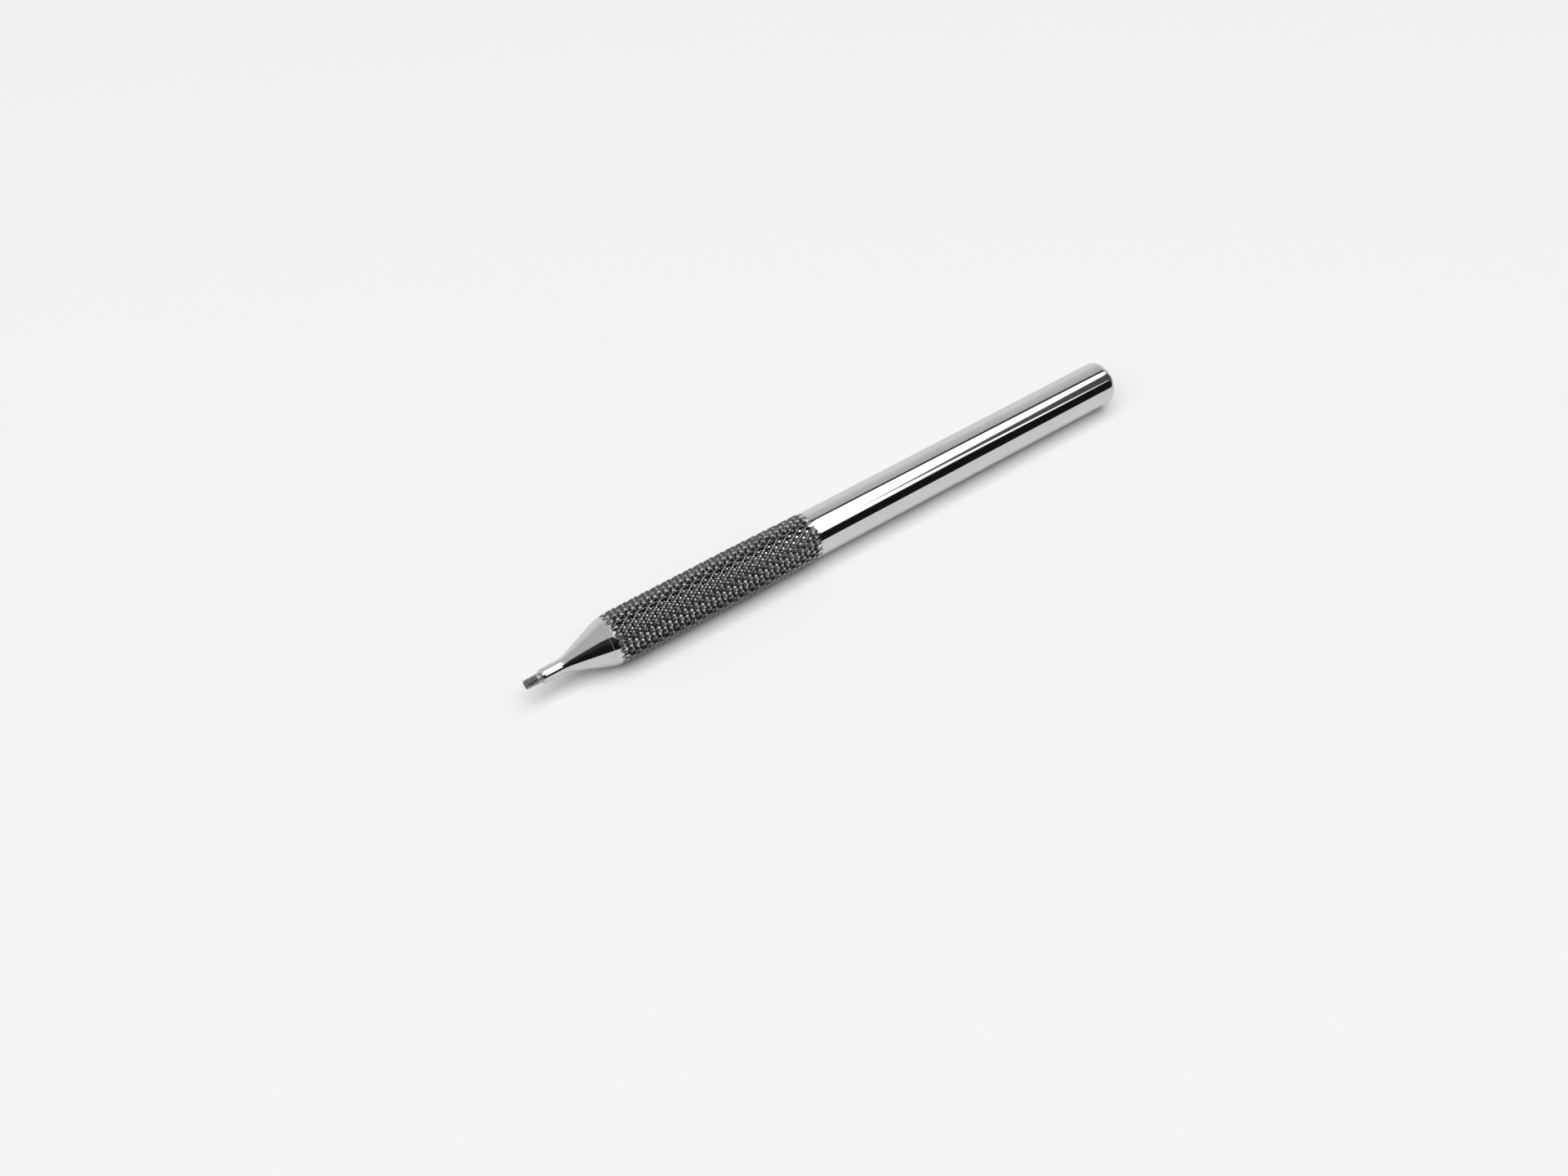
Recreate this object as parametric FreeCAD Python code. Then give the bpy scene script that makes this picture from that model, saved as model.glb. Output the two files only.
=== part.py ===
import FreeCAD, Part
import math
import os

# Steel handle of a scriber: a turned nose with a threaded stud that the point screws onto, a tubular
# barrel with a knurled grip at its front, and a plug that closes the barrel's rear.
# The axis is X. The origin is the centre of the shoulder that the point seats on; the stud stands out
# towards -X and the barrel runs towards +X. Sizes are in millimetres, stations are measured from the
# shoulder, and every piece is a solid of revolution.

V = FreeCAD.Vector

# Whole handle
HANDLE_LENGTH = 117.0           # shoulder to rear face
SHANK_RADIUS = 4.0
BORE_RADIUS = 2.75              # inside of the tubular barrel
BROKEN_EDGE = 0.05              # smallest chamfer, on edges that would otherwise be sharp

# Nose
NECK_RADIUS = 1.2
NECK_LENGTH = 3.3               # plain cylinder behind the shoulder
FLARE_RADIUS = 4.0              # concave arc from the neck into the cone
CONE_ANGLE = math.radians(21.0)
CONE_END = 9.6                  # where the cone starts to turn convex
SEAM = 11.1                     # nose meets barrel
SEAM_ANGLE = math.radians(16.7)  # slope of the surface where it crosses the seam
SPIGOT_LENGTH = 9.0             # pressed into the barrel
SPIGOT_CHAMFER = 0.4

# Threaded stud, M1.6 x 0.35, drawn at its major diameter
THREAD_RADIUS = 0.8
STUD_LENGTH = 2.8               # in front of the shoulder
STUD_CHAMFER = 0.3
TAIL_RADIUS = 0.6               # plain tail, pressed into the nose
TAIL_LENGTH = 5.0
TAIL_CHAMFER = 0.2
HOLE_DEPTH = 5.4                # for the tail, to the start of the drill point
DRILL_POINT_ANGLE = math.radians(59.0)

# Grip: envelope over the points of the knurl
LAND_RADIUS = 4.09              # smooth land in front of the knurl
GRIP_START = 12.0
GRIP_RISE = 2.0                 # run-in, from the land to full height
GRIP_FULL_END = 37.0            # the knurl gets shallower behind this station
GRIP_END = 50.0
GRIP_RADIUS = 4.27
GRIP_REAR_RADIUS = 4.08

# Rear plug
PLUG_HEAD_LENGTH = 4.0
PLUG_SPIGOT_LENGTH = 8.0
REAR_ROUNDING = 1.5
BORE_CHAMFER = 0.3              # at both ends of the barrel's bore


def chord(start, end):
    return Part.LineSegment(V(start[0], 0, start[1]), V(end[0], 0, end[1])).toShape()


def chain(points):
    """Straight edges through the points, each given as (station, radius)."""
    return [chord(start, end) for start, end in zip(points, points[1:])]


def arc(centre, radius, first, last):
    """Circular edge about centre; the angles are measured from +X towards larger radii."""
    ends_and_middle = [
        V(centre[0] + radius * math.cos(angle), 0, centre[1] + radius * math.sin(angle))
        for angle in (first, (first + last) / 2, last)
    ]
    return Part.Arc(*ends_and_middle).toShape()


def turn(edges):
    """Revolve a closed outline about the axis into one solid."""
    outline = Part.Wire(Part.sortEdges(edges)[0])
    return Part.Face(outline).revolve(V(0, 0, 0), V(1, 0, 0), 360)


def cone_start():
    """Station and radius where the concave flare becomes the straight cone."""
    station = NECK_LENGTH + FLARE_RADIUS * math.sin(CONE_ANGLE)
    radius = NECK_RADIUS + FLARE_RADIUS * (1 - math.cos(CONE_ANGLE))
    return station, radius


def cone_end():
    station, radius = cone_start()
    return CONE_END, radius + (CONE_END - station) * math.tan(CONE_ANGLE)


def crown_radius():
    """Radius of the convex arc between the cone and the seam, tangent to the cone."""
    return (SEAM - CONE_END) / (math.sin(CONE_ANGLE) - math.sin(SEAM_ANGLE))


def seam_radius():
    return cone_end()[1] + crown_radius() * (math.cos(SEAM_ANGLE) - math.cos(CONE_ANGLE))


def make_nose():
    """Neck, flare and cone, with the hole for the stud's tail in front and a press spigot behind."""
    start, end, crown, seam = cone_start(), cone_end(), crown_radius(), seam_radius()
    quarter = math.pi / 2
    flare_centre = (NECK_LENGTH, NECK_RADIUS + FLARE_RADIUS)
    crown_centre = (end[0] + crown * math.sin(CONE_ANGLE), end[1] - crown * math.cos(CONE_ANGLE))
    edge_angle = SEAM_ANGLE + BROKEN_EDGE / crown
    edge_start = (
        crown_centre[0] - crown * math.sin(edge_angle),
        crown_centre[1] + crown * math.cos(edge_angle),
    )
    spigot_end = SEAM + SPIGOT_LENGTH
    drill_tip = HOLE_DEPTH + TAIL_RADIUS / math.tan(DRILL_POINT_ANGLE)

    front = chain([
        (drill_tip, 0),
        (HOLE_DEPTH, TAIL_RADIUS),
        (0, TAIL_RADIUS),
        (0, NECK_RADIUS - BROKEN_EDGE),
        (BROKEN_EDGE, NECK_RADIUS),
        (NECK_LENGTH, NECK_RADIUS),
    ])
    body = [
        arc(flare_centre, FLARE_RADIUS, -quarter, -quarter + CONE_ANGLE),
        chord(start, end),
        arc(crown_centre, crown, quarter + CONE_ANGLE, quarter + edge_angle),
    ]
    back = chain([
        edge_start,
        (SEAM, seam - BROKEN_EDGE),
        (SEAM, BORE_RADIUS),
        (spigot_end - SPIGOT_CHAMFER, BORE_RADIUS),
        (spigot_end, BORE_RADIUS - SPIGOT_CHAMFER),
        (spigot_end, 0),
        (drill_tip, 0),
    ])
    return turn(front + body + back)


def make_threaded_stud():
    """Screw that carries the point; its thinner tail is fixed in the nose."""
    return turn(chain([
        (-STUD_LENGTH, 0),
        (-STUD_LENGTH, THREAD_RADIUS - STUD_CHAMFER),
        (-STUD_LENGTH + STUD_CHAMFER, THREAD_RADIUS),
        (0, THREAD_RADIUS),
        (0, TAIL_RADIUS),
        (TAIL_LENGTH - TAIL_CHAMFER, TAIL_RADIUS),
        (TAIL_LENGTH, TAIL_RADIUS - TAIL_CHAMFER),
        (TAIL_LENGTH, 0),
        (-STUD_LENGTH, 0),
    ]))


def make_barrel():
    """Tube with the grip at its front; the knurl is drawn as its envelope."""
    seam = seam_radius()
    shoulder = (LAND_RADIUS - seam) / (1 - math.cos(SEAM_ANGLE))
    land_station = SEAM + shoulder * math.sin(SEAM_ANGLE)
    shoulder_centre = (land_station, LAND_RADIUS - shoulder)
    quarter = math.pi / 2
    edge_angle = quarter + SEAM_ANGLE - BROKEN_EDGE / shoulder
    grip_angle = quarter + math.asin((land_station - GRIP_START) / shoulder)
    edge_start = (
        shoulder_centre[0] + shoulder * math.cos(edge_angle),
        shoulder_centre[1] + shoulder * math.sin(edge_angle),
    )
    grip_start = (
        shoulder_centre[0] + shoulder * math.cos(grip_angle),
        shoulder_centre[1] + shoulder * math.sin(grip_angle),
    )
    rear = HANDLE_LENGTH - PLUG_HEAD_LENGTH

    outside = chain([
        grip_start,
        (GRIP_START + GRIP_RISE, GRIP_RADIUS),
        (GRIP_FULL_END, GRIP_RADIUS),
        (GRIP_END, GRIP_REAR_RADIUS),
        (GRIP_END, SHANK_RADIUS),
        (rear - BROKEN_EDGE, SHANK_RADIUS),
        (rear, SHANK_RADIUS - BROKEN_EDGE),
    ])
    inside = chain([
        (rear, SHANK_RADIUS - BROKEN_EDGE),
        (rear, BORE_RADIUS + BORE_CHAMFER),
        (rear - BORE_CHAMFER, BORE_RADIUS),
        (SEAM + BORE_CHAMFER, BORE_RADIUS),
        (SEAM, BORE_RADIUS + BORE_CHAMFER),
        (SEAM, seam - BROKEN_EDGE),
        edge_start,
    ])
    return turn([arc(shoulder_centre, shoulder, edge_angle, grip_angle)] + outside + inside)


def make_rear_plug():
    """Head that carries the shank on to the rear face, with a spigot pressed into the bore."""
    front = HANDLE_LENGTH - PLUG_HEAD_LENGTH
    spigot_front = front - PLUG_SPIGOT_LENGTH
    rounding_centre = (HANDLE_LENGTH - REAR_ROUNDING, SHANK_RADIUS - REAR_ROUNDING)
    outline = chain([
        (HANDLE_LENGTH, SHANK_RADIUS - REAR_ROUNDING),
        (HANDLE_LENGTH, 0),
        (spigot_front, 0),
        (spigot_front, BORE_RADIUS - SPIGOT_CHAMFER),
        (spigot_front + SPIGOT_CHAMFER, BORE_RADIUS),
        (front, BORE_RADIUS),
        (front, SHANK_RADIUS - BROKEN_EDGE),
        (front + BROKEN_EDGE, SHANK_RADIUS),
        (HANDLE_LENGTH - REAR_ROUNDING, SHANK_RADIUS),
    ])
    return turn(outline + [arc(rounding_centre, REAR_ROUNDING, math.pi / 2, 0)])


def main():
    os.makedirs("parts", exist_ok=True)
    pieces = {
        "nose": make_nose(),
        "threaded_stud": make_threaded_stud(),
        "barrel": make_barrel(),
        "rear_plug": make_rear_plug(),
    }
    for name, shape in pieces.items():
        shape.exportStep(f"parts/{name}.step")
        box = shape.BoundBox
        print(f"{name}: valid {shape.isValid()}, {len(shape.Solids)} solid, {shape.Volume:.2f} mm3, "
              f"x {box.XMin:.2f} to {box.XMax:.2f}, radius {box.ZMax:.3f}")


main()
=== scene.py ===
"""Scriber handle in polished steel: turned nose, threaded stud, knurled barrel and rear plug.

The axis of the tool is X. The origin is the centre of the shoulder that the point seats on.
"""

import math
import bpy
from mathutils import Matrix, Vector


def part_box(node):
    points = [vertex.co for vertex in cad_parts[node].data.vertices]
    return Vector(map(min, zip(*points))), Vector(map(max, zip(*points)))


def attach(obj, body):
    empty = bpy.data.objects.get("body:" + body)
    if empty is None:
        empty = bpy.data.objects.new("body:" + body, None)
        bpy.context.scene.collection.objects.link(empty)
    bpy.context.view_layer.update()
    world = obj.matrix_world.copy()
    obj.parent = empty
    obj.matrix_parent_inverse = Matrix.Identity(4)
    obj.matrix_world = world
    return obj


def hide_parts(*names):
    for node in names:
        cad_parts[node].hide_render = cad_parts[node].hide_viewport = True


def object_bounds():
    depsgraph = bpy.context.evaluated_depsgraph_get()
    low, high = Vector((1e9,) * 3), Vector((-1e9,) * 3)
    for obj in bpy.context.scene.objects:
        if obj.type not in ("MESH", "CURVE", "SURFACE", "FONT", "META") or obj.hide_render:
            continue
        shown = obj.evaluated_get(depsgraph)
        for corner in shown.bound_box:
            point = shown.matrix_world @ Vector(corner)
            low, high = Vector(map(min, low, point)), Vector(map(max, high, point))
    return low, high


bl_info = {
    "name": "Scriber Handle",
    "version": (1, 0, 0),
    "blender": (4, 5, 0),
    "location": "View3D > Sidebar > Scriber",
    "description": "Adds a knurled steel scriber handle and a small studio round it",
    "category": "Add Mesh",
}

import bmesh
import bpy
from bpy.props import FloatProperty, FloatVectorProperty, IntProperty, PointerProperty
from mathutils import Vector

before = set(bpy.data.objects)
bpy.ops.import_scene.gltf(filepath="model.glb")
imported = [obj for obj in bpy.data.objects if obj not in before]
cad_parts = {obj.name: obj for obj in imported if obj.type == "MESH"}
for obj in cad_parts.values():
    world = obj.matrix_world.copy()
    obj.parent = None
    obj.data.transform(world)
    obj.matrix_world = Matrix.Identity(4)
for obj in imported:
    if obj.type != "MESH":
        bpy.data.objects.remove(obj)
CAD_LOW, CAD_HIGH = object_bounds()

MM = 0.001
MICRON = 0.000001
TAU = 2 * math.pi
RIGHT_ANGLE = math.pi / 2
TURNED_SEGMENTS = 256  # faces round a turned piece
STUD_SEGMENTS = 96
DRILL_POINT = 0.36 * MM  # length of the cone under the hole in the nose
SPIGOT_CHAMFER = 0.4 * MM
BORE_CHAMFER = 0.3 * MM
TAIL_CHAMFER = 0.2 * MM
THREAD_FADE = 0.30 * MM  # length over which the last turn of the thread runs out
THREAD_ROW = 23 * MICRON  # length of one row of faces on the thread
HAZED = 0.93  # brightness of steel under handling haze

STUD_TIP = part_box("threaded_stud")[0].x
STUD_TAIL_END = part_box("threaded_stud")[1].x
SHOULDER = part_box("nose")[0].x
SPIGOT_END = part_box("nose")[1].x
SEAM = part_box("barrel")[0].x
REAR_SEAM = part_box("barrel")[1].x
PLUG_SPIGOT_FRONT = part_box("rear_plug")[0].x
REAR_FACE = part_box("rear_plug")[1].x
CREST_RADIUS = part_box("barrel")[1].z
TABLE_HEIGHT = CAD_LOW.z
AIM = Vector((42.70 * MM, -3.85 * MM, TABLE_HEIGHT))  # the floor point the camera looks at


# ------------------------------------------------------------------ sizes and finishes


def length(name, description, default):
    return FloatProperty(
        name=name, description=description, default=default, min=0.0, precision=5,
        subtype="DISTANCE", unit="LENGTH",
    )


def angle(name, description, degrees):
    return FloatProperty(
        name=name, description=description, default=math.radians(degrees),
        subtype="ANGLE", unit="ROTATION",
    )


def share(name, description, default):
    return FloatProperty(
        name=name, description=description, default=default, min=0.0, max=1.0,
        subtype="FACTOR",
    )


def tint(name, description, default):
    return FloatVectorProperty(
        name=name, description=description, default=default, size=3,
        min=0.0, max=1.0, subtype="COLOR",
    )


class ScriberNose(bpy.types.PropertyGroup):
    neck_radius: length("Neck Radius", "Plain cylinder behind the shoulder", 1.2 * MM)
    neck_length: length("Neck Length", "From the shoulder to the flare", 3.3 * MM)
    flare_radius: length("Flare Radius", "Hollow curve from neck to cone", 4.0 * MM)
    cone_angle: angle("Cone Angle", "Slope of the straight cone", 21.0)
    cone_end: length("Cone End", "Station where the cone turns convex", 9.6 * MM)
    seam_slope: angle("Seam Slope", "Slope where the nose meets the barrel", 16.7)
    broken_edge: length("Broken Edge", "Chamfer on the seam and the shoulder", 0.05 * MM)
    bore_radius: length("Bore Radius", "Inside of the barrel", 2.75 * MM)
    hole_depth: length("Hole Depth", "Hole for the tail of the stud", 5.4 * MM)


class ScriberStud(bpy.types.PropertyGroup):
    radius: length("Thread Radius", "Over the crests of the thread", 0.8 * MM)
    pitch: length("Pitch", "One turn of the thread", 0.35 * MM)
    depth: length("Thread Depth", "Crest to root, slightly worn", 0.165 * MM)
    plain_length: length("Plain Length", "Uncut stretch next to the shoulder", 0.65 * MM)
    tip_radius: length("Tip Radius", "Flat at the end of the stud", 0.46 * MM)
    tip_chamfer: length("Tip Chamfer", "Length of the rounded lead-in", 0.28 * MM)
    tail_radius: length("Tail Radius", "Plain tail inside the nose", 0.6 * MM)


class ScriberGrip(bpy.types.PropertyGroup):
    starts: IntProperty(
        name="Starts", description="Grooves of each hand round the barrel", default=20,
        min=6, max=60,
    )
    diamond_length: length("Diamond Length", "One diamond along the axis", 2.04 * MM)
    start: length("Start", "Station of the first groove ends", 12.02 * MM)
    full: length("Full Height", "Station where the knurl stands full", 14.0 * MM)
    taper: length("Taper Start", "Station behind which the knurl gets shallower", 37.0 * MM)
    end: length("End", "Station of the last groove ends", 50.35 * MM)
    run_out: length("Run-out", "Length over which a groove fades", 1.1 * MM)
    land_radius: length("Land Radius", "Smooth metal in front of the knurl", 4.09 * MM)
    rear_radius: length("Rear Crest Radius", "Crests at the rear of the knurl", 4.08 * MM)
    root_radius: length("Root Radius", "Groove floors", 3.78 * MM)
    floor_share: share("Floor Share", "Half width of a groove floor, in diamonds", 0.060)
    groove_share: share("Groove Share", "Half width of the deepest groove, in diamonds", 0.385)
    crown: length("Crown", "Height of the rounding on each diamond's top", 0.012 * MM)
    shank_radius: length("Shank Radius", "Plain shank behind the grip", 4.0 * MM)


class ScriberPlug(bpy.types.PropertyGroup):
    rounding: length("Rounding", "Radius of the rear edge", 1.5 * MM)
    hairline: length("Hairline", "Chamfer on the rear seam", 0.02 * MM)


class ScriberFinish(bpy.types.PropertyGroup):
    polished: tint("Polished Steel", "Nose, shank and plug", (0.62, 0.62, 0.615))
    # Painted shade: the flanks are darker than bare steel to stand for the shade in the grooves.
    knurled: tint("Knurled Steel", "Flanks of the grip", (0.20, 0.20, 0.198))
    # Worn tops, and a painted highlight: the groove floors are lighter to brighten the lines they
    # reflect.
    crests: tint("Crests", "Worn tops and groove floors of the grip", (0.66, 0.66, 0.655))
    # Painted shade: the darkest tone of the flanks, mottled along the tool marks.
    groove_shade: tint("Groove Shade", "Dark film on the flanks", (0.10, 0.10, 0.098))
    stud_steel: tint("Stud Steel", "Dull machined stud", (0.36, 0.357, 0.352))
    stud_crests: tint("Stud Crests", "Worn crests of the thread", (0.52, 0.515, 0.507))
    # Painted shade: darkening of the thread roots.
    stud_root_shade: tint("Stud Roots", "Darkening in the roots of the thread", (0.04, 0.039, 0.038))
    stud_spots: tint("Stud Spots", "Dark spots on the stud", (0.10, 0.099, 0.097))
    polish: share("Polish", "Roughness of the bright steel", 0.035)
    crest_polish: share("Crest Polish", "Roughness of the tops and groove floors", 0.16)
    satin: share("Satin", "Roughness of the knurl flanks", 0.24)
    dull: share("Dull", "Roughness of the stud", 0.42)


class ScriberStudio(bpy.types.PropertyGroup):
    paper: tint("Paper", "Pale floor", (0.86, 0.86, 0.86))
    backdrop: tint("Backdrop", "Pale wall seen beyond the floor", (0.90, 0.90, 0.90))
    floor_size: length("Floor Size", "Side of the floor", 3.0)
    room_radius: length("Room Radius", "Dome that polished steel mirrors", 8.0)
    softbox_height: length("Softbox Height", "Above the floor", 2.5)
    softbox_power: FloatProperty(
        name="Softbox Power", description="Light from the overhead softbox", default=112.0,
        min=0.0, unit="POWER",
    )
    fill: FloatProperty(
        name="Fill", description="Even light from the pale surroundings", default=0.22, min=0.0,
    )
    window_gain: FloatProperty(
        name="Window Gain", description="How much brighter than white the window is",
        default=1.2, min=0.0,
    )
    azimuth: angle("Azimuth", "Camera turn from +Y towards +X", 36.01)
    elevation: angle("Elevation", "Camera height above the floor", 47.99)
    distance: length("Distance", "Camera to the point it looks at", 246.66 * MM)
    lens: FloatProperty(
        name="Lens", description="Focal length on a 36 mm wide sensor", default=34.6875,
        min=1.0, unit="CAMERA",
    )


# ------------------------------------------------------------------ modelling helpers


def select_nothing():
    if bpy.context.mode != "OBJECT":
        bpy.ops.object.mode_set(mode="OBJECT")
    bpy.ops.object.select_all(action="DESELECT")


def edit():
    bpy.ops.object.mode_set(mode="EDIT")


def leave_edit():
    bpy.ops.object.mode_set(mode="OBJECT")


def pick(piece, elements, wanted):
    """Selects only the edges or faces that wanted() accepts, in edit mode."""
    kinds = {"edges": "EDGE", "faces": "FACE"}
    bpy.ops.mesh.select_mode(type=kinds[elements])
    bpy.ops.mesh.select_all(action="DESELECT")
    shape = bmesh.from_edit_mesh(piece.data)
    for element in getattr(shape, elements):
        if wanted(element):
            element.select_set(True)
    shape.select_flush_mode()
    bmesh.update_edit_mesh(piece.data)


def arc_points(centre, radius, first, last, steps):
    """Points on an arc; the angles run from +X towards larger radii."""
    return [
        (
            centre[0] + radius * math.cos(first + (last - first) * i / steps),
            centre[1] + radius * math.sin(first + (last - first) * i / steps),
        )
        for i in range(steps + 1)
    ]


def even_points(start, end, steps):
    """Points between start and end, both left out."""
    return [
        tuple(a + (b - a) * i / steps for a, b in zip(start, end)) for i in range(1, steps)
    ]


def turn_outline(name, outline, segments):
    """Draws an outline of (station, radius) point by point and spins it once round X."""
    select_nothing()
    bpy.ops.mesh.primitive_plane_add(size=MM)
    piece = bpy.context.object
    piece.name = piece.data.name = name
    edit()
    bpy.ops.mesh.select_all(action="SELECT")
    bpy.ops.mesh.merge(type="CENTER")
    bpy.ops.transform.translate(value=(outline[0][0], outline[0][1], 0))
    for here, there in zip(outline, outline[1:]):
        bpy.ops.mesh.extrude_region_move(
            TRANSFORM_OT_translate={"value": (there[0] - here[0], there[1] - here[1], 0)}
        )
    bpy.ops.mesh.select_all(action="SELECT")
    bpy.ops.mesh.spin(steps=segments, angle=TAU, center=(0, 0, 0), axis=(1, 0, 0))
    close_shape()
    leave_edit()
    return piece


def close_shape():
    """Merges the seam and the poles and points every face outwards."""
    bpy.ops.mesh.select_mode(type="VERT")
    bpy.ops.mesh.select_all(action="SELECT")
    bpy.ops.mesh.remove_doubles(threshold=0.2 * MICRON)
    bpy.ops.mesh.normals_make_consistent(inside=False)


def finish_piece(piece, node, material, smooth_degrees=28.0):
    """Shades the piece, gives it its finish and puts it in the place of its CAD node."""
    select_nothing()
    piece.select_set(True)
    bpy.context.view_layer.objects.active = piece
    bpy.ops.object.shade_smooth_by_angle(angle=math.radians(smooth_degrees))
    piece.data.materials.clear()
    piece.data.materials.append(material)
    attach(piece, "root")
    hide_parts(node)


# ------------------------------------------------------------------ node helpers


def add_node(tree, kind, inputs=None, **settings):
    """Adds a node; an input given as a socket is linked, anything else is its value."""
    made = tree.nodes.new(kind)
    for key, value in settings.items():
        setattr(made, key, value)
    for key, value in (inputs or {}).items():
        if isinstance(value, bpy.types.NodeSocket):
            tree.links.new(value, made.inputs[key])
        else:
            made.inputs[key].default_value = value
    return made


def maths(tree, operation, *values, clamp=False):
    made = add_node(tree, "ShaderNodeMath", operation=operation, use_clamp=clamp)
    for index, value in enumerate(values):
        if isinstance(value, bpy.types.NodeSocket):
            tree.links.new(value, made.inputs[index])
        else:
            made.inputs[index].default_value = value
    return made.outputs[0]


def remap(tree, value, low, high, to_low=0.0, to_high=1.0, smooth=False):
    made = add_node(
        tree, "ShaderNodeMapRange",
        {0: value, 1: low, 2: high, 3: to_low, 4: to_high},
        interpolation_type="SMOOTHSTEP" if smooth else "LINEAR",
    )
    return made.outputs[0]


def blend_colours(tree, factor, first, second):
    made = add_node(tree, "ShaderNodeMix", data_type="RGBA")
    for index, value in ((0, factor), (6, first), (7, second)):
        if isinstance(value, bpy.types.NodeSocket):
            tree.links.new(value, made.inputs[index])
        elif index == 0:
            made.inputs[index].default_value = value
        else:
            made.inputs[index].default_value = (*value, 1.0)
    return made.outputs[2]


def new_group(name, inputs, outputs):
    """An empty shader node group with its named sockets; returns tree, ins and outs."""
    tree = bpy.data.node_groups.new(name, "ShaderNodeTree")
    for label, kind, default in inputs:
        made = tree.interface.new_socket(label, in_out="INPUT", socket_type=kind)
        if default is not None:
            made.default_value = default
    for label, kind in outputs:
        tree.interface.new_socket(label, in_out="OUTPUT", socket_type=kind)
    ins = tree.nodes.new("NodeGroupInput")
    outs = tree.nodes.new("NodeGroupOutput")
    return tree, ins.outputs, outs.inputs


def group_node(tree, group, inputs=None):
    made = tree.nodes.new("ShaderNodeGroup")
    made.node_tree = group
    for key, value in (inputs or {}).items():
        if isinstance(value, bpy.types.NodeSocket):
            tree.links.new(value, made.inputs[key])
        else:
            made.inputs[key].default_value = value
    return made


def noise_value(tree, vector, scale, detail=2.0, roughness=0.5):
    return add_node(
        tree, "ShaderNodeTexNoise",
        {"Vector": vector, "Scale": scale, "Detail": detail, "Roughness": roughness},
    ).outputs["Fac"]


def stretched(tree, vector, scale, turn=(0.0, 0.0, 0.0)):
    return add_node(
        tree, "ShaderNodeMapping", {"Vector": vector, "Rotation": turn, "Scale": scale}
    ).outputs["Vector"]


def hairline_group():
    """Polishing lines round the axis and a few stray scratches across them."""
    name = "hairline_scratches"
    if name in bpy.data.node_groups:
        return bpy.data.node_groups[name]
    tree, ins, outs = new_group(
        name,
        [("Vector", "NodeSocketVector", None), ("Lines", "NodeSocketFloat", 1.0),
         ("Strays", "NodeSocketFloat", 1.0)],
        [("Mask", "NodeSocketFloat"), ("Height", "NodeSocketFloat")],
    )
    rings = noise_value(tree, stretched(tree, ins["Vector"], (9000, 160, 160)), 1.0, 3.0)
    rings = remap(tree, rings, 0.35, 0.7)
    strays = None
    # the turn of each family of scratches, and how close together they lie
    directions = (((0.3, 0.5, 0.9), 4200), ((1.1, 0.2, -0.6), 5460), ((0.0, 0.9, 0.15), 3360))
    for turn, density in directions:
        lie = stretched(tree, ins["Vector"], (60, density, density), turn)
        thin = remap(tree, noise_value(tree, lie, 1.0, 1.0), 0.70, 0.76)
        strays = thin if strays is None else maths(tree, "MAXIMUM", strays, thin)
    patches = remap(tree, noise_value(tree, ins["Vector"], 90.0, 2.0), 0.45, 0.62)
    strays = maths(tree, "MULTIPLY", strays, patches)
    ring_part = maths(tree, "MULTIPLY", rings, ins["Lines"])
    stray_part = maths(tree, "MULTIPLY", strays, ins["Strays"])
    tree.links.new(maths(tree, "ADD", ring_part, stray_part, clamp=True), outs["Mask"])
    height = maths(tree, "MULTIPLY_ADD", stray_part, -1.0, maths(tree, "MULTIPLY", ring_part, 0.35))
    tree.links.new(height, outs["Height"])
    return tree


def haze_group():
    """Handling haze: soft smudges at two sizes."""
    name = "handling_haze"
    if name in bpy.data.node_groups:
        return bpy.data.node_groups[name]
    tree, ins, outs = new_group(
        name, [("Vector", "NodeSocketVector", None)], [("Mask", "NodeSocketFloat")]
    )
    broad = remap(tree, noise_value(tree, ins["Vector"], 110.0, 3.0, 0.6), 0.40, 0.72)
    prints = noise_value(tree, stretched(tree, ins["Vector"], (300, 520, 520)), 1.0, 4.0, 0.65)
    prints = remap(tree, prints, 0.48, 0.70)
    both = maths(tree, "MULTIPLY_ADD", prints, 0.5, maths(tree, "MULTIPLY", broad, 0.6))
    tree.links.new(maths(tree, "MINIMUM", both, 1.0), outs["Mask"])
    return tree


def radius_group():
    """Distance from the axis of the tool, from Object coordinates."""
    name = "radius_from_axis"
    if name in bpy.data.node_groups:
        return bpy.data.node_groups[name]
    tree, ins, outs = new_group(
        name, [("Vector", "NodeSocketVector", None)], [("Radius", "NodeSocketFloat")]
    )
    parts = add_node(tree, "ShaderNodeSeparateXYZ", {"Vector": ins["Vector"]}).outputs
    square = maths(
        tree, "ADD", maths(tree, "MULTIPLY", parts["Y"], parts["Y"]),
        maths(tree, "MULTIPLY", parts["Z"], parts["Z"]),
    )
    tree.links.new(maths(tree, "SQRT", square), outs["Radius"])
    return tree


def start_material(name):
    material = bpy.data.materials.new(name)
    material.use_nodes = True
    tree = material.node_tree
    shader = tree.nodes["Principled BSDF"]
    shader.inputs["Metallic"].default_value = 1.0
    where = add_node(tree, "ShaderNodeTexCoord").outputs["Object"]
    return material, tree, shader, where


def bump(tree, shader, height, distance, strength=1.0):
    made = add_node(
        tree, "ShaderNodeBump", {"Strength": strength, "Distance": distance, "Height": height}
    )
    tree.links.new(made.outputs["Normal"], shader.inputs["Normal"])


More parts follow.
